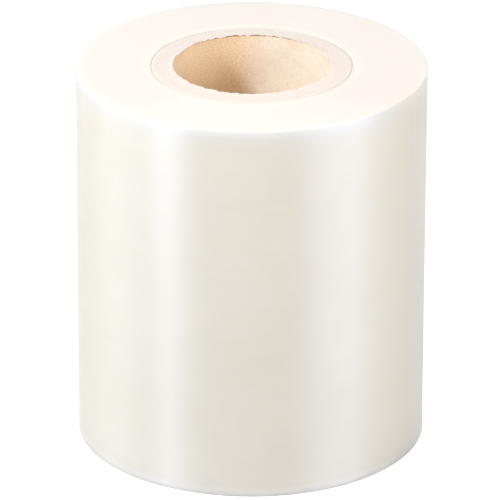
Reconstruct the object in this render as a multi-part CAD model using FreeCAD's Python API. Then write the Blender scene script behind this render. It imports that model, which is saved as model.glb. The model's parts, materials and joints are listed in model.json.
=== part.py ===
# A roll of sealing film: film wound tight on a thick cardboard tube, standing on one end.
# Millimetres, +Z up along the roll's axis. The origin is the middle of the lower end,
# on the surface that the roll stands on.

import FreeCAD
import Part
import os

# Film winding. Its turns lie tight on each other, so they are one solid.
roll_diameter = 168.0        # across the outermost turn
film_width = 188.0           # along the roll's axis
rim_radius = 0.8             # soft corner of the outer turns at both ends
first_turn_radius = 0.35     # corner of the innermost turns, drawn in where they start
swell = 0.3                  # how far the thicker edge of the film stands out at the lower end
swell_height = 15.0          # how far up the roll that edge still shows

# Core tube. Board wound in a spiral and sawn to the film's width.
bore_diameter = 76.0         # goes over a three-inch mandrel
core_wall = 10.0
core_edge_radius = 0.4       # worn corners of the sawn ends
burr_height = 0.65           # rim of torn fibres that the saw left round the mouth of the bore
burr_width = 1.6             # from the bore out to where the rim runs into the sawn face
burr_crest = 0.5             # width of the top of that rim
burr_edge_radius = 0.15

winding_clearance = 0.0      # the first turn is wound tight on the tube

# Radii that both pieces share
roll_radius = roll_diameter / 2
bore_radius = bore_diameter / 2
core_radius = bore_radius + core_wall
winding_radius = core_radius + winding_clearance

axis_start = FreeCAD.Vector(0, 0, 0)
axis_direction = FreeCAD.Vector(0, 0, 1)
full_turn = 360.0
same_place = 0.001           # how near two measures have to be to count as one


def place(radius, height):
    """A point of an outline, in the plane through the axis and +X."""
    return FreeCAD.Vector(radius, 0, height)


def straight(*points):
    """Line edges from each point to the next."""
    return [Part.makeLine(start, end) for start, end in zip(points, points[1:])]


def turned(edges):
    """The solid that a closed outline sweeps in one turn about the axis."""
    face = Part.Face(Part.Wire(edges))
    return face.revolve(axis_start, axis_direction, full_turn)


def ring_edges(solid, radius, height):
    """The circular corners of a turned solid at one radius and height."""
    found = []
    for edge in solid.Edges:
        if not isinstance(edge.Curve, Part.Circle):
            continue
        off_radius = abs(edge.Curve.Radius - radius)
        off_height = abs(edge.Curve.Center.z - height)
        if max(off_radius, off_height) < same_place:
            found.append(edge)
    return found


def rounded(solid, corners):
    """The solid with each corner, given as fillet radius, radius and height, rounded."""
    for fillet_radius, radius, height in corners:
        solid = solid.makeFillet(fillet_radius, ring_edges(solid, radius, height))
    return solid


def film_winding():
    """The wound film: a thick ring whose lower edge swells out a little."""
    foot_radius = roll_radius + swell
    swell_top = place(roll_radius, swell_height)
    # The parabola that leaves the upright side tangent to it and reaches the full swell at the foot
    swell_middle = place(roll_radius + swell / 4, swell_height / 2)
    foot = place(foot_radius, 0)
    outline = straight(
        swell_top,
        place(roll_radius, film_width),
        place(winding_radius, film_width),
        place(winding_radius, 0),
        foot,
    )
    outline.append(Part.Arc(foot, swell_middle, swell_top).toShape())
    return rounded(
        turned(outline),
        [
            (rim_radius, foot_radius, 0),
            (rim_radius, roll_radius, film_width),
            (first_turn_radius, winding_radius, 0),
            (first_turn_radius, winding_radius, film_width),
        ],
    )


def core_tube():
    """The cardboard tube, with the burr standing up round its upper mouth."""
    burr_top = film_width + burr_height
    crest_radius = bore_radius + burr_crest
    outline = straight(
        place(bore_radius, 0),
        place(core_radius, 0),
        place(core_radius, film_width),
        place(bore_radius + burr_width, film_width),
        place(crest_radius, burr_top),
        place(bore_radius, burr_top),
        place(bore_radius, 0),
    )
    return rounded(
        turned(outline),
        [
            (core_edge_radius, core_radius, 0),
            (core_edge_radius, core_radius, film_width),
            (core_edge_radius, bore_radius, 0),
            (burr_edge_radius, bore_radius, burr_top),
            (burr_edge_radius, crest_radius, burr_top),
        ],
    )


nodes = {
    "film_winding": film_winding(),
    "core_tube": core_tube(),
}

os.makedirs("parts", exist_ok=True)
for name, solid in nodes.items():
    solid.exportStep(f"parts/{name}.step")
    print(f"{name}: {solid.Volume / 1000:.1f} cm3, valid {solid.isValid()}")
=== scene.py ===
import json
import math
import random

import bmesh
import bpy
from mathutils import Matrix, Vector, noise


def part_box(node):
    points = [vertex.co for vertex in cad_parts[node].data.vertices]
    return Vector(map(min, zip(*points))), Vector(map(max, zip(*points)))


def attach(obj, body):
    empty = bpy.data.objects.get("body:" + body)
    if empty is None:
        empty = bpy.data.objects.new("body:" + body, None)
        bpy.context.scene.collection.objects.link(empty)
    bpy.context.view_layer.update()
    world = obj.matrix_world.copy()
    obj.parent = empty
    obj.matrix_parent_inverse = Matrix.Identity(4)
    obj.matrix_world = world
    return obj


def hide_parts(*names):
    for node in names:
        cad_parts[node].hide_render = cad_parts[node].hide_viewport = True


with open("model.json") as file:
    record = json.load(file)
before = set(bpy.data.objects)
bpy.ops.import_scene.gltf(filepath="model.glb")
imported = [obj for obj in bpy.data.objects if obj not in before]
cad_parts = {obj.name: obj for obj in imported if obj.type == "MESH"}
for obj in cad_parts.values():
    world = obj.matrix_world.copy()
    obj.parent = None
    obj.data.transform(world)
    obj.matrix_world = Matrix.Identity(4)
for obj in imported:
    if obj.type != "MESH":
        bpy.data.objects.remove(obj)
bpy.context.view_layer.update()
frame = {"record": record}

mm = 0.001
sameSpot = 0.02 * mm          # two places nearer than this are one place
sameWall = 0.1 * mm           # and whatever is nearer than this to a wall's radius is on that wall
endToEnd = 10 * mm            # only the edges that run from end to end are longer than this
levelFace = 0.9               # a level face's normal is at least this much upright

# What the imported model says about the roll
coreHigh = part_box("core_tube")[1]
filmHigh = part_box("film_winding")[1]
coreBore = next(mount for mount in frame["record"]["mounts"] if mount["name"] == "core_bore")
boreRadius = coreBore["dims"]["r_mm"] * mm
coreRadius = coreHigh.x
filmWidth = filmHigh.z
footRadius = filmHigh.x
burrHeight = coreHigh.z - filmWidth


def hexToLinear(code):
    # "E8D9C0" as Blender's linear colour, by the sRGB curve
    channels = [int(code[i:i + 2], 16) / 255 for i in (0, 2, 4)]
    return [c / 12.92 if c <= 0.04045 else ((c + 0.055) / 1.055) ** 2.4 for c in channels] + [1]


def socketOf(sockets, name):
    # Mix nodes have several sockets called A, so an identifier such as A_Color is looked for first
    return next((s for s in sockets if s.identifier == name), None) or sockets[name]


def addNode(tree, kind, settings=None, links=None):
    # settings go to the node's options or sockets, and links say which (node, output) feeds a socket
    node = tree.nodes.new(kind)
    options = {name: value for name, value in (settings or {}).items() if hasattr(node, name)}
    for name, value in options.items():
        setattr(node, name, value)
    for name, value in (settings or {}).items():
        if name not in options:
            socketOf(node.inputs, name).default_value = value
    for name, (source, output) in (links or {}).items():
        tree.links.new(socketOf(source.outputs, output), socketOf(node.inputs, name))
    return node


def newMaterial(name):
    material = bpy.data.materials.new(name)
    material.use_nodes = True
    material.node_tree.nodes.clear()
    return material, material.node_tree


def radiusOf(point):
    return math.hypot(point.x, point.y)


def azimuthOf(point):
    # degrees to the right of the front, seen from above
    return math.degrees(math.atan2(point.x, -point.y))


def outward(azimuth):
    turn = math.radians(azimuth)
    return Vector((math.sin(turn), -math.cos(turn), 0))


def select(piece, part, test):
    # in edit mode, selects only the vertices, edges or faces that pass the test
    bpy.ops.mesh.select_mode(type=part)
    bpy.ops.mesh.select_all(action="DESELECT")
    mesh = bmesh.from_edit_mesh(piece.data)
    for item in {"VERT": mesh.verts, "EDGE": mesh.edges, "FACE": mesh.faces}[part]:
        if test(item):
            item.select_set(True)
    bmesh.update_edit_mesh(piece.data)


def isRing(edge, radius, height):
    # an edge that runs round the axis at this radius and height
    points = [vertex.co for vertex in edge.verts]
    return all(abs(radiusOf(p) - radius) < sameWall and abs(p.z - height) < sameSpot for p in points)


def isUpright(edge, radius):
    # an edge that runs from end to end at this radius
    a, b = (vertex.co for vertex in edge.verts)
    return abs(a.z - b.z) > endToEnd and all(abs(radiusOf(p) - radius) < sameWall for p in (a, b))


def isEnd(face, height):
    # a face that lies level at this height
    return abs(face.normal.z) > levelFace and abs(face.calc_center_median().z - height) < sameSpot


def boredCylinder(name, radius, length, sides, topRings, bottomRings):
    # a cylinder whose two ends are inset ring by ring, then joined by the wall of a bore
    bpy.ops.object.select_all(action="DESELECT")
    bpy.ops.mesh.primitive_cylinder_add(vertices=sides, radius=radius, depth=length,
                                        location=(0, 0, length / 2))
    piece = bpy.context.object
    piece.name = name
    bpy.ops.object.transform_apply(location=True, rotation=True, scale=True)
    bpy.ops.object.mode_set(mode="EDIT")
    for height, rings in ((length, topRings), (0, bottomRings)):
        select(piece, "FACE", lambda face: isEnd(face, height))
        for width, rise in rings:
            bpy.ops.mesh.inset(thickness=width, depth=rise)
        bpy.ops.mesh.delete(type="FACE")
    select(piece, "EDGE", lambda edge: edge.is_boundary)
    bpy.ops.mesh.bridge_edge_loops()
    return piece


def pushOut(piece, most, amount, direction="NORMAL"):
    # moves each vertex by amount(its place) along the direction, with most as the largest move
    group = piece.vertex_groups.new(name="push")
    for vertex in piece.data.vertices:
        group.add([vertex.index], amount(vertex.co) / most, "REPLACE")
    bpy.ops.object.modifier_add(type="DISPLACE")
    push = piece.modifiers[-1]
    push.vertex_group, push.direction = group.name, direction
    push.strength, push.mid_level = most, 0
    bpy.ops.object.modifier_apply(modifier=push.name)
    piece.vertex_groups.clear()


def finish(piece, smoothAngle):
    # normals out, round parts smooth and real corners sharp
    bpy.ops.object.mode_set(mode="EDIT")
    bpy.ops.mesh.select_all(action="SELECT")
    bpy.ops.mesh.normals_make_consistent(inside=False)
    bpy.ops.object.mode_set(mode="OBJECT")
    bpy.ops.object.shade_smooth_by_angle(angle=math.radians(smoothAngle))
    bpy.ops.object.select_all(action="DESELECT")


def paintFaces(piece, walls, ends, levelFrom):
    # the first material on the walls, and the second on the faces that are more level than levelFrom
    piece.data.materials.append(walls)
    piece.data.materials.append(ends)
    for face in piece.data.polygons:
        face.material_index = 1 if abs(face.normal.z) > levelFrom else 0


# The wound film: thousands of turns of clear film, so tight on each other that they are one body
film = {
    "sides": 288,
    "rows": 94,                    # rows of faces up the side
    "rimRadius": 0.8 * mm,
    "footEdge": 0.2 * mm,          # the roll's own weight squeezes the lower corner sharper
    "cornerSteps": 4,
    "rimRing": 1.4 * mm,           # plain ring next to the rim, so that its corner can be rounded
    "firstTurnRadius": 0.35 * mm,
    "firstTurnSteps": 2,
    "innerRing": 0.9 * mm,
    "turnBand": 0.75 * mm,         # a turn is 0.05 mm thick, drawn as groups of turns so that they show
    "turnStep": 0.012 * mm,        # how deep such a group may sink into the ends
    "deepStep": 0.05 * mm,         # and how deep one in six may, where the winding tension changed
    "deepShare": 0.17,
    "swell": 0.27 * mm,            # the film's thicker edge, at the foot of the roll
    "swellHeight": 15 * mm,
    "swellSteps": 8,
    "tailAngle": 64.3,             # degrees to the right of the front, where the last turn ends
    "tailStep": 0.09 * mm,         # film is 0.05 mm thick, drawn coarser so that its end shows
    "tailWidth": 0.17,             # degrees over which the side steps up onto the last turn
    "tailCut": 2,                  # degrees to each side that an upright cut for that step may reach
    "gauge": 0.035 * mm,           # bands round the roll, where the film is a little thicker
    "gaugeWidth": 14 * mm,
    "gaugeDrift": 0.3,             # how much a band changes on its way round
    "rippleRise": 0.2 * mm,        # real ones stand up by a turn or two, drawn higher so that they show
    "rippleSlant": 0.35,           # they climb a little on their way to the right
    "mostOut": 0.35 * mm,          # step, bands and ripples together stand out no further than this
    "levelFrom": 0.85,             # faces more level than this are slit edges
    "smoothAngle": 40,
    "seed": 7,
}
sideRadius = footRadius - film["swell"]

# Faint ripples in the last turns: azimuth, height in mm, half width and half height in mm
ripples = [
    (34, 89, 8, 2.2), (30, 82, 5, 1.5), (29, 54, 8, 2.0), (36, 60, 5, 1.6), (-24, 40, 6, 1.8),
    (112, 120, 9, 2.4), (-150, 75, 8, 2.2), (170, 30, 7, 2.0), (-95, 138, 8, 2.0),
]


def turnRings(seed):
    # rings of turns from the rim to the core, each with its width and how far it sinks or rises
    dice = random.Random(seed)
    width = sideRadius - coreRadius - film["rimRing"] - film["innerRing"]
    count = round(width / film["turnBand"])
    rings, level = [(film["rimRing"], 0.0)], 0.0
    for _ in range(count):
        deepest = film["deepStep"] if dice.random() < film["deepShare"] else film["turnStep"]
        nextLevel = -dice.random() * deepest
        rings.append((width / count, nextLevel - level))
        level = nextLevel
    return rings + [(film["innerRing"], -level)]


def sideShape(point):
    # how far a point stands out from a true cylinder: nothing on the ends, all of it on the side
    onSide = min(1, max(0, (radiusOf(point) - sideRadius) / film["rimRadius"] + 0.5) * 2)
    azimuth, height = azimuthOf(point), point.z
    # the winding is a spiral: the side steps up onto the last turn, then comes down slowly once round
    pastTail = (azimuth - film["tailAngle"]) % 360
    if pastTail < film["tailWidth"]:
        risen = pastTail / film["tailWidth"]
    else:
        risen = 1 - (pastTail - film["tailWidth"]) / 360
    out = film["tailStep"] * risen
    turn, drift = math.radians(azimuth), film["gaugeDrift"]
    band = noise.noise((drift * math.sin(turn), drift * math.cos(turn), height / film["gaugeWidth"]))
    out += film["gauge"] * (0.5 + 0.5 * band)
    for where, level, halfWidth, halfHeight in ripples:
        along = math.radians((azimuth - where + 180) % 360 - 180) * sideRadius / (halfWidth * mm)
        up = (height - level * mm) / (halfHeight * mm) - film["rippleSlant"] * along
        out += film["rippleRise"] * math.exp(-along * along - up * up)
    return out * onSide


filmFinish = {
    "sideColour": "E2DBCD",
    "cloudColour": "DCD4C3",
    "cloudSize": 45 * mm,          # broad clouds of haze, a quarter of the roll's height
    "streakHeight": 5 * mm,        # streaks along the winding, where a turn lies tighter or looser
    "streakSquash": 0.22,          # a streak is about 4.5 times as long as it is high
    "streakShare": 0.55,           # how much the streaks count beside the clouds
    "hazeRange": (0.35, 1.2),      # how much haze it takes for the cloud colour to begin, and to be full
    # painted light: near the foot the colour is paler, making up for the light that leaves the turns
    # through the lower end
    "footPaintedLight": "F3EDE2",
    "footLightReach": 6 * mm,
    # painted shade: under the rim the colour is darker and greyer, making up for the light that comes in
    # through the upper end
    "rimPaintedShade": "DAD6CF",
    "rimShadeReach": 15 * mm,
    # painted shade: right of the tail's step the side is greyer
    "tailRightPaintedShade": "DAD2C3",
    "tailRightShadeReach": 32,              # degrees from the step over which that fades
    # painted shade: left of the step the side grows darker and creamier towards it
    "tailLeftPaintedShade": "DBD2C1",
    "tailLeftShadeReach": 20,              # degrees from the step where that begins
    "tailLeftShadeFull": 1,                # and where it is full
    "lineHeight": 1.6 * mm,        # the film's fine lines are about 0.3 mm apart, drawn coarser to show
    "lineSquash": 0.06,            # and they are many times as long as they are high
    "lineDepth": 0.02 * mm,
    "lineStrength": 0.25,
    "sideRoughness": 0.5,
    "sideAnisotropy": 0.9,
    "acrossLines": 0.25,           # a quarter turn, as the gloss spreads across the fine lines
    "layeredIor": 1.85,            # one skin has 1.5, but each of the layers under it gives back light too
    "sideGloss": 1.0,
    "glossTint": "D4E3F8",
    "sideGlow": 0.7,               # how much of the light wanders inside the turns
    "sideGlowReach": 18 * mm,      # and how far, blue a little further than red
    "sideGlowColours": (0.85, 0.93, 1.0),
    "edgeColour": "EAE4DD",
    # painted light: next to the core the colour is paler, making up for the light inside that is lost there
    "nearCorePaintedLight": "F5ECE2",
    "nearCoreLightWidth": 7 * mm,
    "edgeRing": 0.5 * mm,          # ten turns of film, as one is too fine to show
    "edgeDepth": 0.02 * mm,
    "edgeStrength": 0.3,
    "edgeRoughness": 0.42,
    "edgeAnisotropy": 0.8,
    "edgeIor": 1.5,
    "edgeGloss": 0.8,
    "edgeGlow": 0.6,
    "edgeGlowReach": 6 * mm,
    "edgeGlowColours": (1.0, 0.9, 0.75),
}


def woundSideMaterial():
    # Clear polyolefin film, cast and wound tight: a smooth clear skin over many clear layers, which
    # together look milky. The fine lines along the winding spread its gloss up and down the roll.
    material, tree = newMaterial("woundClearFilm")
    place = addNode(tree, "ShaderNodeTexCoord")
    tangent = addNode(tree, "ShaderNodeTangent", {"direction_type": "RADIAL", "axis": "Z"})
    # haze in broad clouds, and in streaks along the winding
    clouds = addNode(tree, "ShaderNodeTexNoise", {"Scale": 1 / filmFinish["cloudSize"], "Detail": 3.0},
                     {"Vector": (place, "Object")})
    squash = filmFinish["streakSquash"]
    along = addNode(tree, "ShaderNodeMapping", {"Scale": (squash, squash, 1.0)},
                    {"Vector": (place, "Object")})
    streaks = addNode(tree, "ShaderNodeTexNoise", {"Scale": 1 / filmFinish["streakHeight"], "Detail": 3.0},
                      {"Vector": (along, "Vector")})
    haze = addNode(tree, "ShaderNodeMath", {
        "operation": "MULTIPLY_ADD", "Value_001": filmFinish["streakShare"],
    }, {"Value": (streaks, "Fac"), "Value_002": (clouds, "Fac")})
    hazy = addNode(tree, "ShaderNodeMapRange", {
        "From Min": filmFinish["hazeRange"][0], "From Max": filmFinish["hazeRange"][1],
    }, {"Value": (haze, "Value")})
    body = addNode(tree, "ShaderNodeMix", {
        "data_type": "RGBA", "A_Color": hexToLinear(filmFinish["sideColour"]),
        "B_Color": hexToLinear(filmFinish["cloudColour"]),
    }, {"Factor_Float": (hazy, "Result")})
    upright = addNode(tree, "ShaderNodeSeparateXYZ", links={"Vector": (place, "Object")})
    # painted light, paler near the foot, and painted shade, darker under the rim
    for height, reach, zone in ((0.0, filmFinish["footLightReach"], "footPaintedLight"),
                                (filmWidth, -filmFinish["rimShadeReach"], "rimPaintedShade")):
        near = addNode(tree, "ShaderNodeMapRange", {
            "From Min": height, "From Max": height + reach, "To Min": 1.0, "To Max": 0.0,
            "interpolation_type": "SMOOTHSTEP",
        }, {"Value": (upright, "Z")})
        body = addNode(tree, "ShaderNodeMix", {
            "data_type": "RGBA", "B_Color": hexToLinear(filmFinish[zone]),
        }, {"Factor_Float": (near, "Result"), "A_Color": (body, "Result_Color")})
    # the angle from the tail's step, above 0 to its right and below 0 to its left
    turned = addNode(tree, "ShaderNodeMapping", {"Rotation": (0, 0, math.radians(-film["tailAngle"]))},
                     {"Vector": (place, "Object")})
    parts = addNode(tree, "ShaderNodeSeparateXYZ", links={"Vector": (turned, "Vector")})
    front = addNode(tree, "ShaderNodeMath", {"operation": "MULTIPLY", "Value_001": -1.0},
                    {"Value": (parts, "Y")})
    angle = addNode(tree, "ShaderNodeMath", {"operation": "ARCTAN2"},
                    {"Value": (parts, "X"), "Value_001": (front, "Value")})
    toRight = addNode(tree, "ShaderNodeMath", {"operation": "GREATER_THAN", "Value_001": 0.0},
                      {"Value": (angle, "Value")})
    # painted shade, greyer right of the tail's step and fading out
    fading = addNode(tree, "ShaderNodeMapRange", {
        "From Min": 0.0, "From Max": math.radians(filmFinish["tailRightShadeReach"]), "To Min": 1.0, "To Max": 0.0,
        "interpolation_type": "SMOOTHSTEP",
    }, {"Value": (angle, "Value")})
    rightOfTailShade = addNode(tree, "ShaderNodeMath", {"operation": "MULTIPLY"},
                    {"Value": (toRight, "Value"), "Value_001": (fading, "Result")})
    colourWithRightShade = addNode(tree, "ShaderNodeMix", {
        "data_type": "RGBA", "B_Color": hexToLinear(filmFinish["tailRightPaintedShade"]),
    }, {"Factor_Float": (rightOfTailShade, "Value"), "A_Color": (body, "Result_Color")})
    toLeft = addNode(tree, "ShaderNodeMath", {"operation": "LESS_THAN", "Value_001": 0.0},
                     {"Value": (angle, "Value")})
    # painted shade, darker and creamier left of the tail's step
    growing = addNode(tree, "ShaderNodeMapRange", {
        "From Min": math.radians(-filmFinish["tailLeftShadeReach"]),
        "From Max": math.radians(-filmFinish["tailLeftShadeFull"]), "interpolation_type": "SMOOTHSTEP",
    }, {"Value": (angle, "Value")})
    leftOfTailShade = addNode(tree, "ShaderNodeMath", {"operation": "MULTIPLY"},
                    {"Value": (growing, "Result"), "Value_001": (toLeft, "Value")})
    colour = addNode(tree, "ShaderNodeMix", {
        "data_type": "RGBA", "B_Color": hexToLinear(filmFinish["tailLeftPaintedShade"]),
    }, {"Factor_Float": (leftOfTailShade, "Value"), "A_Color": (colourWithRightShade, "Result_Color")})
    squash = filmFinish["lineSquash"]
    stretch = addNode(tree, "ShaderNodeMapping", {"Scale": (squash, squash, 1.0)},
                      {"Vector": (place, "Object")})
    lines = addNode(tree, "ShaderNodeTexNoise", {"Scale": 1 / filmFinish["lineHeight"], "Detail": 2.0},
                    {"Vector": (stretch, "Vector")})
    bump = addNode(tree, "ShaderNodeBump", {
        "Strength": filmFinish["lineStrength"], "Distance": filmFinish["lineDepth"],
    }, {"Height": (lines, "Fac")})
    skin = addNode(tree, "ShaderNodeBsdfPrincipled", {
        "Roughness": filmFinish["sideRoughness"], "IOR": filmFinish["layeredIor"],
        "Specular IOR Level": filmFinish["sideGloss"],
        "Specular Tint": hexToLinear(filmFinish["glossTint"]),
        "Anisotropic": filmFinish["sideAnisotropy"], "Anisotropic Rotation": filmFinish["acrossLines"],
        "Subsurface Weight": filmFinish["sideGlow"], "Subsurface Radius": filmFinish["sideGlowColours"],
        "Subsurface Scale": filmFinish["sideGlowReach"],
    }, {
        "Base Color": (colour, "Result_Color"), "Normal": (bump, "Normal"), "Tangent": (tangent, "Tangent"),
    })
    addNode(tree, "ShaderNodeOutputMaterial", links={"Surface": (skin, "BSDF")})
    return material


def slitEdgeMaterial():
    # The slit edges of the same film: thousands of edges side by side, a satin face with fine rings
    # that fan the light out along the radius.
    material, tree = newMaterial("slitFilmEdges")
    place = addNode(tree, "ShaderNodeTexCoord")
    tangent = addNode(tree, "ShaderNodeTangent", {"direction_type": "RADIAL", "axis": "Z"})
    flat = addNode(tree, "ShaderNodeMapping", {"Scale": (1.0, 1.0, 0.0)}, {"Vector": (place, "Object")})
    radius = addNode(tree, "ShaderNodeVectorMath", {"operation": "LENGTH"}, {"Vector": (flat, "Vector")})
    # painted light, paler next to the core
    nearCore = addNode(tree, "ShaderNodeMapRange", {
        "From Min": coreRadius, "From Max": coreRadius + filmFinish["nearCoreLightWidth"],
        "To Min": 1.0, "To Max": 0.0, "interpolation_type": "SMOOTHSTEP",
    }, {"Value": (radius, "Value")})
    colour = addNode(tree, "ShaderNodeMix", {
        "data_type": "RGBA", "A_Color": hexToLinear(filmFinish["edgeColour"]),
        "B_Color": hexToLinear(filmFinish["nearCorePaintedLight"]),
    }, {"Factor_Float": (nearCore, "Result")})
    rings = addNode(tree, "ShaderNodeTexNoise", {
        "noise_dimensions": "1D", "Scale": 1 / filmFinish["edgeRing"], "Detail": 2.0,
    }, {"W": (radius, "Value")})
    bump = addNode(tree, "ShaderNodeBump", {
        "Strength": filmFinish["edgeStrength"], "Distance": filmFinish["edgeDepth"],
    }, {"Height": (rings, "Fac")})
    skin = addNode(tree, "ShaderNodeBsdfPrincipled", {
        "Roughness": filmFinish["edgeRoughness"], "IOR": filmFinish["edgeIor"],
        "Specular IOR Level": filmFinish["edgeGloss"],
        "Anisotropic": filmFinish["edgeAnisotropy"], "Anisotropic Rotation": filmFinish["acrossLines"],
        "Subsurface Weight": filmFinish["edgeGlow"], "Subsurface Radius": filmFinish["edgeGlowColours"],
        "Subsurface Scale": filmFinish["edgeGlowReach"],
    }, {
        "Base Color": (colour, "Result_Color"), "Normal": (bump, "Normal"), "Tangent": (tangent, "Tangent"),
    })
    addNode(tree, "ShaderNodeOutputMaterial", links={"Surface": (skin, "BSDF")})
    return material


def atTailCut(face, azimuth):
    # a face of the side that the upright cut at this azimuth may cross
    centre = face.calc_center_median()
    onSide = radiusOf(centre) > sideRadius - film["rimRadius"]
    return onSide and abs(azimuthOf(centre) - azimuth) < film["tailCut"]


def inFoot(point, below):
    # a point of the side below this height, or of the lower corner
    return point.z < below and radiusOf(point) > sideRadius - film["rimRing"] / 2 - film["rimRadius"] / 2


def makeFilm():
    top, bottom = turnRings(film["seed"]), turnRings(film["seed"] + 1)
    piece = boredCylinder("woundFilm", sideRadius, filmWidth, film["sides"], top, bottom)
    for height, corner in ((0, film["footEdge"]), (filmWidth, film["rimRadius"])):
        select(piece, "EDGE", lambda edge: isRing(edge, coreRadius, height))
        bpy.ops.mesh.bevel(offset=film["firstTurnRadius"], segments=film["firstTurnSteps"], affect="EDGES")
        select(piece, "EDGE", lambda edge: isRing(edge, sideRadius, height))
        bpy.ops.mesh.bevel(offset=corner, segments=film["cornerSteps"], affect="EDGES")
    # two upright cuts for the end of the last turn
    for azimuth in (film["tailAngle"], film["tailAngle"] + film["tailWidth"]):
        select(piece, "FACE", lambda face: atTailCut(face, azimuth))
        bpy.ops.mesh.bisect(plane_co=(0, 0, 0), plane_no=outward(azimuth + 90))
    select(piece, "EDGE", lambda edge: isUpright(edge, sideRadius))
    bpy.ops.mesh.subdivide(number_cuts=film["rows"] - 1)
    # the foot swells along a parabola: each step spreads all that is below it a little more
    for step in range(film["swellSteps"]):
        below = film["swellHeight"] * (1 - step / film["swellSteps"])
        spread = 1 + film["swell"] * (2 * step + 1) / film["swellSteps"] ** 2 / sideRadius
        select(piece, "VERT", lambda vertex: inFoot(vertex.co, below))
        bpy.ops.transform.resize(value=(spread, spread, 1), center_override=(0, 0, 0))
    bpy.ops.object.mode_set(mode="OBJECT")
    pushOut(piece, film["mostOut"], sideShape)
    finish(piece, film["smoothAngle"])
    paintFaces(piece, woundSideMaterial(), slitEdgeMaterial(), film["levelFrom"])
    return piece


# The core: a thick tube of spirally wound board, sawn to the film's width
core = {
    "sides": 720,
    "rows": 30,                    # rows of faces down the bore
    "edgeRadius": 0.4 * mm,
    "edgeSteps": 2,
    "edgeRing": 0.8 * mm,
    "plies": 9,
    "plyStep": 0.03 * mm,
    "burrWidth": 1.6 * mm,
    "burrCrest": 0.5 * mm,
    "burrRough": 0.6 * mm,         # how much lower the torn rim is in places
    "burrTooth": 1.7 * mm,         # length of one torn tooth
    "burrNoise": (1.0, 2.2, 3),    # how smooth, how much finer each layer of teeth is, and how many layers
    "burrFoot": 0.3,               # the lowest part of the burr's height, which isn't worn
    "burrFrom": 0.1 * mm,          # whatever stands higher than this above the sawn end is burr
    "burrShake": 0.12 * mm,        # how far its points are scattered
    "mouthRing": 0.6 * mm,         # the topmost strip of the bore's wall, which the saw tore
    "tearReach": 0.6 * mm,         # how far torn board hangs into the bore
    "tearTooth": 2.4 * mm,
    "tearNoise": (1.0, 2.0, 3),
    "tearSlice": 4.0,              # where that noise is cut, well away from the burr's own
    "tearSteps": 6,
    "tearWidth": 1.1,              # the tear takes in the burr's crest and a little more
    "tearLevel": 0.3,              # how far the mouth hangs in on average, as a part of the tear's reach
    "tearVaries": 0.8,             # and how much that varies from tooth to tooth
    "seamLead": 110 * mm,          # one turn of the inner ply's seam
    "seamWidth": 0.5 * mm,
    "seamDepth": 0.3 * mm,
    "seamOver": 0.1,               # part of a turn that the seam's cutter stands out of each end
    "seamSteps": 240,              # steps in a turn
    "levelFrom": 0.5,              # faces more level than this are sawn
    "smoothAngle": 50,
    "seed": 3,
}

# Larger torn lips: azimuth, half width in degrees, and how much of the tear's full reach they hang in
tornLips = [(-113, 9, 1.0), (-68, 4, 0.5), (-31, 3, 0.45), (44, 4, 0.4), (152, 5, 0.5)]


def plyRings(topEnd):
    # rings of plies from the outside to the bore, and at the upper end the rim that the saw tore up
    dice = random.Random(core["seed"])
    width = coreRadius - boreRadius - core["edgeRing"] - core["burrWidth"]
    rings, level = [(core["edgeRing"], 0.0)], 0.0
    for _ in range(core["plies"]):
        nextLevel = -dice.random() * core["plyStep"]
        rings.append((width / core["plies"], nextLevel - level))
        level = nextLevel
    if topEnd:
        slope = (core["burrWidth"] - core["burrCrest"], burrHeight - level)
        return rings + [slope, (core["burrCrest"], 0.0)]
    return rings + [(core["burrWidth"], -level)]


def cutSeam(piece):
    # a helical groove in the bore, where the edges of the inner ply meet
    turns = filmWidth / core["seamLead"] + 2 * core["seamOver"]
    bpy.ops.mesh.primitive_plane_add(size=1, rotation=(math.radians(90), 0, 0))
    cutter = bpy.context.object
    cutter.scale = (2 * core["seamDepth"], core["seamWidth"], 1)
    bpy.ops.object.transform_apply(location=False, rotation=True, scale=True)
    cutter.location = (0, 0, 0)
    bpy.ops.object.mode_set(mode="EDIT")
    bpy.ops.mesh.select_all(action="SELECT")
    # it starts above the front of the upper end and goes down to the right
    bpy.ops.transform.translate(value=(boreRadius, 0, 0))
    bpy.ops.transform.rotate(value=math.radians(90), orient_axis="Z", center_override=(0, 0, 0))
    bpy.ops.transform.translate(value=(0, 0, filmWidth + core["seamOver"] * core["seamLead"]))
    bpy.ops.object.mode_set(mode="OBJECT")
    bpy.ops.object.modifier_add(type="SCREW")
    wind = cutter.modifiers[-1]
    wind.angle, wind.screw_offset = math.radians(360 * turns), -core["seamLead"] * turns
    wind.steps = wind.render_steps = round(core["seamSteps"] * turns)
    bpy.ops.object.modifier_apply(modifier=wind.name)
    bpy.ops.object.mode_set(mode="EDIT")
    select(cutter, "EDGE", lambda edge: edge.is_boundary)
    bpy.ops.mesh.fill_holes(sides=4)
    bpy.ops.mesh.select_all(action="SELECT")
    bpy.ops.mesh.normals_make_consistent(inside=False)
    bpy.ops.object.mode_set(mode="OBJECT")
    bpy.ops.object.select_all(action="DESELECT")
    piece.select_set(True)
    bpy.context.view_layer.objects.active = piece
    bpy.ops.object.modifier_add(type="BOOLEAN")
    cut = piece.modifiers[-1]
    cut.operation, cut.object, cut.solver = "DIFFERENCE", cutter, "EXACT"
    bpy.ops.object.modifier_apply(modifier=cut.name)
    bpy.data.objects.remove(cutter)


def burrDrop(point):
    # how far the torn rim is worn down at a place, in teeth of uneven length
    if point.z < filmWidth + core["burrFoot"] * burrHeight:
        return 0
    turn = math.radians(azimuthOf(point))
    teeth = boreRadius / core["burrTooth"]
    spot = (teeth * math.sin(turn), teeth * math.cos(turn), point.z / mm)
    return core["burrRough"] * min(1, max(0, 0.5 + noise.fractal(spot, *core["burrNoise"])))


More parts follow.
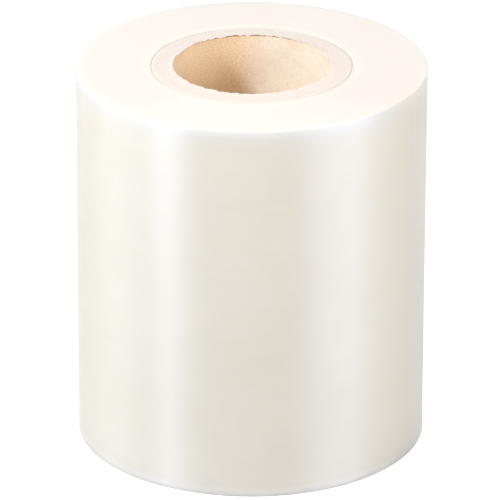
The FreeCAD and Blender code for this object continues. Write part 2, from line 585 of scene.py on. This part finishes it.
def hangsIn(point):
    # how far the torn mouth hangs into the bore at a place, from 0 to 1
    azimuth = azimuthOf(point)
    turn = math.radians(azimuth)
    teeth = boreRadius / core["tearTooth"]
    spot = (teeth * math.sin(turn), teeth * math.cos(turn), core["tearSlice"])
    hang = core["tearLevel"] + core["tearVaries"] * noise.fractal(spot, *core["tearNoise"])
    for where, halfWidth, reach in tornLips:
        away = ((azimuth - where + 180) % 360 - 180) / halfWidth
        hang += reach * math.exp(-away * away)
    return hang


def inBurr(point):
    # a point of the board that stands up round the mouth
    return point.z > filmWidth + core["burrFrom"]


def isTorn(point, least):
    # a point at the burr's crest that hangs further in than this
    atCrest = radiusOf(point) < boreRadius + core["tearWidth"] * core["burrCrest"]
    return inBurr(point) and atCrest and hangsIn(point) > least


def tearMouth(piece):
    # each step draws whatever hangs further in than the last one a little nearer to the axis
    select(piece, "FACE", lambda face: abs(radiusOf(face.calc_center_median()) - boreRadius) < sameWall)
    bpy.ops.mesh.bisect(plane_co=(0, 0, filmWidth - core["mouthRing"]), plane_no=(0, 0, 1))
    draw = 1 - core["tearReach"] / core["tearSteps"] / boreRadius
    for step in range(core["tearSteps"]):
        least = (step + 0.5) / core["tearSteps"]
        select(piece, "VERT", lambda vertex: isTorn(vertex.co, least))
        bpy.ops.transform.resize(value=(draw, draw, 1), center_override=(0, 0, 0))


boardFinish = {
    "dark": "F8E6D3",              # the darker and the paler fibres
    "pale": "FFF8ED",
    "paintedShadeDark": "E8C394",         # painted shade: the same fibres browner on one side of the bore, standing in for the shade inside it
    "paintedShadePale": "FBE4C6",
    "paintedShadeFrom": 10 * mm,          # the painted shade grows from this place to the next one, across the bore
    "paintedShadeFull": -11 * mm,
    "fibre": 0.6 * mm,             # a board fibre is 0.03 mm wide, drawn coarser so that it shows
    "fibreSquash": 0.45,           # and it is twice as long as it is wide, along the plies
    "fibreRange": (0.36, 0.64),    # how sharply the darker and the paler fibres part
    "fibreDepth": 0.12 * mm,
    "damp": "F2D9BC",              # small patches where the glue soaked through the ply
    "dampSize": 4 * mm,
    "dampRange": (0.42, 0.68),
    "speck": "C89F70",             # short darker fibres here and there, drawn coarser as well
    "speckSize": 1.1 * mm,
    "speckRange": (0.6, 0.74),
    "patchMost": 0.3,              # how strong a patch or a speck is at most
    "darkMouth": "94693F",             # a dark ragged band round the mouth of the bore
    "mouthBandEdge": 0.3 * mm,         # how far into the bore it reaches
    "mouthBandRagged": 0.6 * mm,       # and how far its edge wanders
    "mouthBandMiddle": -4 * mm,        # it is strongest here, counted along the bore from the back to the right
    "mouthBandHalf": (9 * mm, 40 * mm),     # full up to the first distance from there, faint past the second
    "mouthBandFaint": 0.12,
    "sawnPale": "F8F0E9",
    "sawnShade": "EBDDD2",
    "sawnPly": 1.1 * mm,           # one ply of nine in a wall of 10 mm
    "sawnPlyShare": 0.18,          # how much the plies count beside the fuzz
    "sawnFuzz": 0.75 * mm,         # tufts of torn fibre, drawn coarser so that they show
    "sawnRange": (0.38, 0.82),
    "sawnDepth": 0.15 * mm,
    "bumpStrength": 0.6,
    # uncoated paper: matte, with a little sheen from the fibres that stand up
    "surface": {
        "Roughness": 0.9, "IOR": 1.45, "Specular IOR Level": 0.3,
        "Sheen Weight": 0.15, "Sheen Roughness": 0.5,
    },
}


def boardMaterial():
    # Tube board: recycled paper plies glued in a spiral. Matte and soft brown, flecked with darker and
    # paler fibres that lie along the plies, with painted shade on one side of the bore and a dark ragged
    # band round its mouth.
    material, tree = newMaterial("woundTubeBoard")
    place = addNode(tree, "ShaderNodeTexCoord")
    parts = addNode(tree, "ShaderNodeSeparateXYZ", links={"Vector": (place, "Object")})
    # the wall of the bore unrolled: way round in metres, and height
    angle = addNode(tree, "ShaderNodeMath", {"operation": "ARCTAN2"},
                    {"Value": (parts, "X"), "Value_001": (parts, "Y")})
    around = addNode(tree, "ShaderNodeMath", {"operation": "MULTIPLY", "Value_001": boreRadius},
                     {"Value": (angle, "Value")})
    unrolled = addNode(tree, "ShaderNodeCombineXYZ", links={"X": (around, "Value"), "Y": (parts, "Z")})
    plySlope = math.atan2(core["seamLead"], 2 * math.pi * boreRadius)
    alongPly = addNode(tree, "ShaderNodeMapping", {
        "vector_type": "TEXTURE", "Rotation": (0, 0, -plySlope),
        "Scale": (1 / boardFinish["fibreSquash"], 1, 1),
    }, {"Vector": (unrolled, "Vector")})
    fibre = addNode(tree, "ShaderNodeTexNoise", {
        "Scale": 1 / boardFinish["fibre"], "Detail": 4.0, "Roughness": 0.65,
    }, {"Vector": (alongPly, "Vector")})
    contrast = addNode(tree, "ShaderNodeMapRange", {
        "From Min": boardFinish["fibreRange"][0], "From Max": boardFinish["fibreRange"][1],
    }, {"Value": (fibre, "Fac")})
    # painted shade: the fibres grow browner towards the left side of the bore
    paintedShadeMask = addNode(tree, "ShaderNodeMapRange", {
        "From Min": boardFinish["paintedShadeFull"], "From Max": boardFinish["paintedShadeFrom"],
        "To Min": 1.0, "To Max": 0.0, "interpolation_type": "SMOOTHSTEP",
    }, {"Value": (parts, "X")})
    tones = []
    for plain, shadedName in (("dark", "paintedShadeDark"), ("pale", "paintedShadePale")):
        tones.append(addNode(tree, "ShaderNodeMix", {
            "data_type": "RGBA", "A_Color": hexToLinear(boardFinish[plain]),
            "B_Color": hexToLinear(boardFinish[shadedName]),
        }, {"Factor_Float": (paintedShadeMask, "Result")}))
    colour = addNode(tree, "ShaderNodeMix", {"data_type": "RGBA"}, {
        "Factor_Float": (contrast, "Result"), "A_Color": (tones[0], "Result_Color"),
        "B_Color": (tones[1], "Result_Color"),
    })
    # patches of glue, then short darker fibres, each laid over the colour before it
    for tint, detail, roughness in (("damp", 3.0, 0.5), ("speck", 2.0, 0.6)):
        least, most = boardFinish[tint + "Range"]
        patches = addNode(tree, "ShaderNodeTexNoise", {
            "Scale": 1 / boardFinish[tint + "Size"], "Detail": detail, "Roughness": roughness,
        }, {"Vector": (alongPly, "Vector")})
        strength = addNode(tree, "ShaderNodeMapRange", {
            "From Min": least, "From Max": most, "To Min": 0.0, "To Max": boardFinish["patchMost"],
        }, {"Value": (patches, "Fac")})
        colour = addNode(tree, "ShaderNodeMix", {
            "data_type": "RGBA", "B_Color": hexToLinear(boardFinish[tint]),
        }, {"Factor_Float": (strength, "Result"), "A_Color": (colour, "Result_Color")})
    # distance from the middle of the roll's height, so that both ends get the dark band
    fromMiddle = addNode(tree, "ShaderNodeMath", {"operation": "SUBTRACT", "Value_001": filmWidth / 2},
                         {"Value": (parts, "Z")})
    reach = addNode(tree, "ShaderNodeMath", {"operation": "ABSOLUTE"}, {"Value": (fromMiddle, "Value")})
    raggedness = addNode(tree, "ShaderNodeMapRange", {
        "To Min": -boardFinish["mouthBandRagged"], "To Max": boardFinish["mouthBandRagged"],
    }, {"Value": (fibre, "Fac")})
    ragged = addNode(tree, "ShaderNodeMath", {"operation": "ADD"},
                     {"Value": (reach, "Value"), "Value_001": (raggedness, "Result")})
    nearEnd = addNode(tree, "ShaderNodeMapRange", {
        "From Min": filmWidth / 2 - boardFinish["mouthBandEdge"],
        "From Max": filmWidth / 2 + boardFinish["mouthBandEdge"], "interpolation_type": "SMOOTHSTEP",
    }, {"Value": (ragged, "Value")})
    alongEdge = addNode(tree, "ShaderNodeMath", {
        "operation": "SUBTRACT", "Value_001": boardFinish["mouthBandMiddle"],
    }, {"Value": (around, "Value")})
    fromBurn = addNode(tree, "ShaderNodeMath", {"operation": "ABSOLUTE"}, {"Value": (alongEdge, "Value")})
    darkMouth = addNode(tree, "ShaderNodeMapRange", {
        "From Min": boardFinish["mouthBandHalf"][0], "From Max": boardFinish["mouthBandHalf"][1],
        "To Min": 1.0, "To Max": boardFinish["mouthBandFaint"], "interpolation_type": "SMOOTHSTEP",
    }, {"Value": (fromBurn, "Value")})
    mouthBandMask = addNode(tree, "ShaderNodeMath", {"operation": "MULTIPLY"},
                     {"Value": (nearEnd, "Result"), "Value_001": (darkMouth, "Result")})
    withDarkMouth = addNode(tree, "ShaderNodeMix", {
        "data_type": "RGBA", "B_Color": hexToLinear(boardFinish["darkMouth"]),
    }, {"Factor_Float": (mouthBandMask, "Value"), "A_Color": (colour, "Result_Color")})
    bump = addNode(tree, "ShaderNodeBump", {
        "Strength": boardFinish["bumpStrength"], "Distance": boardFinish["fibreDepth"],
    }, {"Height": (fibre, "Fac")})
    skin = addNode(tree, "ShaderNodeBsdfPrincipled", boardFinish["surface"],
                   {"Base Color": (withDarkMouth, "Result_Color"), "Normal": (bump, "Normal")})
    addNode(tree, "ShaderNodeOutputMaterial", links={"Surface": (skin, "BSDF")})
    return material


def sawnBoardMaterial():
    # The sawn end of the same board: the saw laid the torn fibres open, so that it is paler and rougher,
    # with the edges of the plies as faint rings.
    material, tree = newMaterial("sawnTubeBoard")
    place = addNode(tree, "ShaderNodeTexCoord")
    flat = addNode(tree, "ShaderNodeMapping", {"Scale": (1.0, 1.0, 0.0)}, {"Vector": (place, "Object")})
    radius = addNode(tree, "ShaderNodeVectorMath", {"operation": "LENGTH"}, {"Vector": (flat, "Vector")})
    plyEdges = addNode(tree, "ShaderNodeTexNoise", {
        "noise_dimensions": "1D", "Scale": 1 / boardFinish["sawnPly"], "Detail": 1.0,
    }, {"W": (radius, "Value")})
    fuzz = addNode(tree, "ShaderNodeTexNoise", {
        "Scale": 1 / boardFinish["sawnFuzz"], "Detail": 4.0, "Roughness": 0.65,
    }, {"Vector": (place, "Object")})
    mixed = addNode(tree, "ShaderNodeMath", {
        "operation": "MULTIPLY_ADD", "Value_001": boardFinish["sawnPlyShare"],
    }, {"Value": (plyEdges, "Fac"), "Value_002": (fuzz, "Fac")})
    contrast = addNode(tree, "ShaderNodeMapRange", {
        "From Min": boardFinish["sawnRange"][0], "From Max": boardFinish["sawnRange"][1],
    }, {"Value": (mixed, "Value")})
    colour = addNode(tree, "ShaderNodeMix", {
        "data_type": "RGBA", "A_Color": hexToLinear(boardFinish["sawnShade"]),
        "B_Color": hexToLinear(boardFinish["sawnPale"]),
    }, {"Factor_Float": (contrast, "Result")})
    bump = addNode(tree, "ShaderNodeBump", {
        "Strength": boardFinish["bumpStrength"], "Distance": boardFinish["sawnDepth"],
    }, {"Height": (mixed, "Value")})
    skin = addNode(tree, "ShaderNodeBsdfPrincipled", boardFinish["surface"],
                   {"Base Color": (colour, "Result_Color"), "Normal": (bump, "Normal")})
    addNode(tree, "ShaderNodeOutputMaterial", links={"Surface": (skin, "BSDF")})
    return material


def makeCore():
    top, bottom = plyRings(True), plyRings(False)
    piece = boredCylinder("boardCore", coreRadius, filmWidth, core["sides"], top, bottom)
    for height in (0, filmWidth):
        select(piece, "EDGE", lambda edge: isRing(edge, coreRadius, height))
        bpy.ops.mesh.bevel(offset=core["edgeRadius"], segments=core["edgeSteps"], affect="EDGES")
    select(piece, "EDGE", lambda edge: isUpright(edge, boreRadius))
    bpy.ops.mesh.subdivide(number_cuts=core["rows"] - 1)
    bpy.ops.object.mode_set(mode="OBJECT")
    cutSeam(piece)
    bpy.ops.object.mode_set(mode="EDIT")
    tearMouth(piece)
    bpy.ops.object.mode_set(mode="OBJECT")
    pushOut(piece, -core["burrRough"], lambda point: -burrDrop(point), "Z")
    bpy.ops.object.mode_set(mode="EDIT")
    select(piece, "VERT", lambda vertex: inBurr(vertex.co))
    bpy.ops.transform.vertex_random(offset=core["burrShake"], seed=core["seed"])
    bpy.ops.object.mode_set(mode="OBJECT")
    finish(piece, core["smoothAngle"])
    paintFaces(piece, boardMaterial(), sawnBoardMaterial(), core["levelFrom"])
    return piece


# Loose fibres that the saw left standing round the mouth of the bore
fibres = {
    "count": 150,
    "sides": 5,
    "thickness": 0.11 * mm,        # board fibres are 0.03 mm thick, drawn coarser so that they show
    "tip": 0.25,                   # the tip's thickness as a part of the root's
    "length": 1.1 * mm,
    "bends": 4,                    # rings up a fibre, each leaning further over than the one below it
    "lean": 0.05,                  # how far a ring leans over and droops, as parts of the length
    "droop": 0.01,
    "tilt": (20, 75),              # degrees from upright
    "sizes": (0.5, 1.3),
    "standOff": (0.0, 0.7),        # mm from the bore's wall to the root
    "rootDepth": (0.35, 0.6),      # mm from the burr's full height down to the root
    "smoothAngle": 60,
    "seed": 11,
}


def makeFibres():
    length, bends, root = fibres["length"], fibres["bends"], fibres["thickness"] / 2
    bpy.ops.object.select_all(action="DESELECT")
    bpy.ops.mesh.primitive_cone_add(vertices=fibres["sides"], radius1=root, radius2=root * fibres["tip"],
                                    depth=length, location=(0, 0, length / 2))
    first = bpy.context.object
    bpy.ops.object.transform_apply(location=True, rotation=True, scale=True)
    bpy.ops.object.mode_set(mode="EDIT")
    select(first, "EDGE", lambda edge: abs(edge.verts[0].co.z - edge.verts[1].co.z) > length / 2)
    bpy.ops.mesh.subdivide(number_cuts=bends - 1)
    for step in range(1, bends + 1):
        select(first, "VERT", lambda vertex: vertex.co.z > (step - 0.5) / bends * length)
        over, down = fibres["lean"] * step * length, fibres["droop"] * step * length
        bpy.ops.transform.translate(value=(over, 0, -down))
    bpy.ops.object.mode_set(mode="OBJECT")
    dice = random.Random(fibres["seed"])
    copies = [first]
    for _ in range(fibres["count"] - 1):
        copy = first.copy()
        copy.data = first.data.copy()
        bpy.context.collection.objects.link(copy)
        copies.append(copy)
    for copy in copies:
        azimuth = dice.uniform(-180, 180)
        copy.location = outward(azimuth) * (boreRadius + dice.uniform(*fibres["standOff"]) * mm)
        copy.location.z = filmWidth + burrHeight - dice.uniform(*fibres["rootDepth"]) * mm
        tilt, turn = dice.uniform(*fibres["tilt"]), dice.uniform(-180, 180)
        copy.rotation_euler = (0, math.radians(tilt), math.radians(turn))
        size = dice.uniform(*fibres["sizes"])
        copy.scale = (size, size, size)
    bpy.ops.object.select_all(action="DESELECT")
    for copy in copies:
        copy.select_set(True)
    bpy.context.view_layer.objects.active = first
    bpy.ops.object.join()
    first.name = "tornFibres"
    bpy.ops.object.transform_apply(location=True, rotation=True, scale=True)
    finish(first, fibres["smoothAngle"])
    first.data.materials.append(bpy.data.materials["sawnTubeBoard"])
    return first


# Floor, room and lamps, in metres, degrees and watts
studio = {
    "floorSize": 40.0,
    "floorColour": "C8C8C8",
    "floorGlow": (0.75, 1.0),      # near the roll the lamps add the rest of the white, far off nothing does
    "glowReach": (0.5, 1.5),       # metres from the roll between which one turns into the other
    "roomColour": "FFFFFF",
    "ambient": 0.05,               # how much the pale room lights the roll
    "lampAim": Vector((0, 0, 0.1)),
}
softboxes = {
    "keyBox": {"azimuth": -61, "elevation": 41, "distance": 1.5, "size": (0.22, 0.42), "roll": 40,
               "watts": 18.2, "colour": "F4FAFF"},
    "lowLeftBox": {"azimuth": -90, "elevation": 9, "distance": 1.5, "size": (0.95, 0.5), "roll": 0,
                   "watts": 5.6, "colour": "FFFBF8"},
    "rightBox": {"azimuth": 56, "elevation": 18, "distance": 0.9, "size": (0.6, 0.3), "roll": 0,
                 "watts": 4.9, "colour": "F8FBFF"},
    "rightRearBox": {"azimuth": 79, "elevation": 33, "distance": 1.5, "size": (0.5, 0.5), "roll": 0,
                     "watts": 2.2, "colour": "FFF6F0"},
    "backBox": {"azimuth": 180, "elevation": 46, "distance": 1.5, "size": (0.55, 0.95), "roll": 0,
                "watts": 4.9, "colour": "FFFAF6"},
    "frontBox": {"azimuth": -7, "elevation": 50, "distance": 0.9, "size": (0.36, 0.3), "roll": 0,
                 "watts": 1.8, "colour": "FFEEDC"},
}


def whereSeen(tree):
    # 1 where the floor or the room is looked at, straight, mirrored or through something clear, and 0
    # where it only lights the roll
    rays = addNode(tree, "ShaderNodeLightPath")
    reflected = addNode(tree, "ShaderNodeMath", {"operation": "MAXIMUM"},
                        {"Value": (rays, "Is Glossy Ray"), "Value_001": (rays, "Is Transmission Ray")})
    return addNode(tree, "ShaderNodeMath", {"operation": "MAXIMUM"},
                   {"Value": (rays, "Is Camera Ray"), "Value_001": (reflected, "Value")})


def makeFloor():
    bpy.ops.object.select_all(action="DESELECT")
    bpy.ops.mesh.primitive_plane_add(size=studio["floorSize"], location=(0, 0, 0))
    floor = bpy.context.object
    floor.name = "paleFloor"
    # Matte emulsion paint: no gloss, so it shows only the roll's soft shadow
    material, tree = newMaterial("paleFloorPaint")
    seen = whereSeen(tree)
    matte = addNode(tree, "ShaderNodeBsdfDiffuse", {"Color": hexToLinear(studio["floorColour"])})
    place = addNode(tree, "ShaderNodeTexCoord")
    away = addNode(tree, "ShaderNodeVectorMath", {"operation": "LENGTH"}, {"Vector": (place, "Object")})
    fade = addNode(tree, "ShaderNodeMapRange", {
        "From Min": studio["glowReach"][0], "From Max": studio["glowReach"][1],
        "To Min": studio["floorGlow"][0], "To Max": studio["floorGlow"][1],
    }, {"Value": (away, "Value")})
    glow = addNode(tree, "ShaderNodeEmission", links={"Strength": (fade, "Result")})
    lit = addNode(tree, "ShaderNodeAddShader", links={
        "Shader": (matte, "BSDF"), "Shader_001": (glow, "Emission")})
    both = addNode(tree, "ShaderNodeMixShader", links={
        "Fac": (seen, "Value"), "Shader": (matte, "BSDF"), "Shader_001": (lit, "Shader")})
    addNode(tree, "ShaderNodeOutputMaterial", links={"Surface": (both, "Shader")})
    floor.data.materials.append(material)


def makeWorld():
    world = bpy.data.worlds.new("paleRoom")
    bpy.context.scene.world = world
    world.use_nodes = True
    tree = world.node_tree
    tree.nodes.clear()
    strength = addNode(tree, "ShaderNodeMapRange", {"To Min": studio["ambient"], "To Max": 1.0},
                       {"Value": (whereSeen(tree), "Value")})
    room = addNode(tree, "ShaderNodeBackground", {"Color": hexToLinear(studio["roomColour"])},
                   {"Strength": (strength, "Result")})
    addNode(tree, "ShaderNodeOutputWorld", links={"Surface": (room, "Background")})


def addSoftbox(name, azimuth, elevation, distance, size, roll, watts, colour):
    aim, rise = studio["lampAim"], math.radians(elevation)
    away = outward(azimuth) * math.cos(rise) + Vector((0, 0, math.sin(rise)))
    bpy.ops.object.light_add(type="AREA", location=aim + away * distance)
    lamp = bpy.context.object
    lamp.name = name
    lamp.data.shape = "RECTANGLE"
    lamp.data.size, lamp.data.size_y = size
    lamp.data.energy = watts
    lamp.data.color = hexToLinear(colour)[:3]
    lamp.rotation_euler = (aim - lamp.location).to_track_quat("-Z", "Y").to_euler()
    lamp.rotation_euler.rotate_axis("Z", math.radians(roll))
    lamp.visible_camera = False


camera = {
    "distance": 2.711,             # metres from the middle of the roll
    "elevation": 23.56,            # degrees above level
    "lens": 403.5,                 # a long one, so that the roll's sides stay nearly parallel
    "roll": 0.197,
    "aim": (-0.5 * mm, 0, filmWidth / 2 - 2.4 * mm),
}


def makeCamera():
    rise = math.radians(camera["elevation"])
    back = Vector((0, -math.cos(rise), math.sin(rise)))
    bpy.ops.object.camera_add(location=Vector((0, 0, filmWidth / 2)) + back * camera["distance"])
    taker = bpy.context.object
    taker.name = "camera"
    taker.data.lens = camera["lens"]
    taker.rotation_euler = (Vector(camera["aim"]) - taker.location).to_track_quat("-Z", "Y").to_euler()
    taker.rotation_euler.rotate_axis("Z", math.radians(camera["roll"]))
    bpy.context.scene.camera = taker


filmPiece = makeFilm()
print("film wound:", len(filmPiece.data.polygons), "faces")
corePiece = makeCore()
print("core sawn:", len(corePiece.data.polygons), "faces")
fibrePiece = makeFibres()
print("loose fibres raised:", len(fibrePiece.data.polygons), "faces")
for piece, slotName in ((filmPiece, "film"), (corePiece, "core_board"), (fibrePiece, "core_board")):
    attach(piece, "root")
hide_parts("film_winding")
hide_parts("core_tube")
print("pieces put on the roll's frame")

makeFloor()
makeWorld()
print("floor and room made")
for name, light in softboxes.items():
    addSoftbox(name, **light)
print("lamps hung:", len(softboxes))
makeCamera()
bpy.context.scene.view_settings.view_transform = "Standard"
print("camera set")
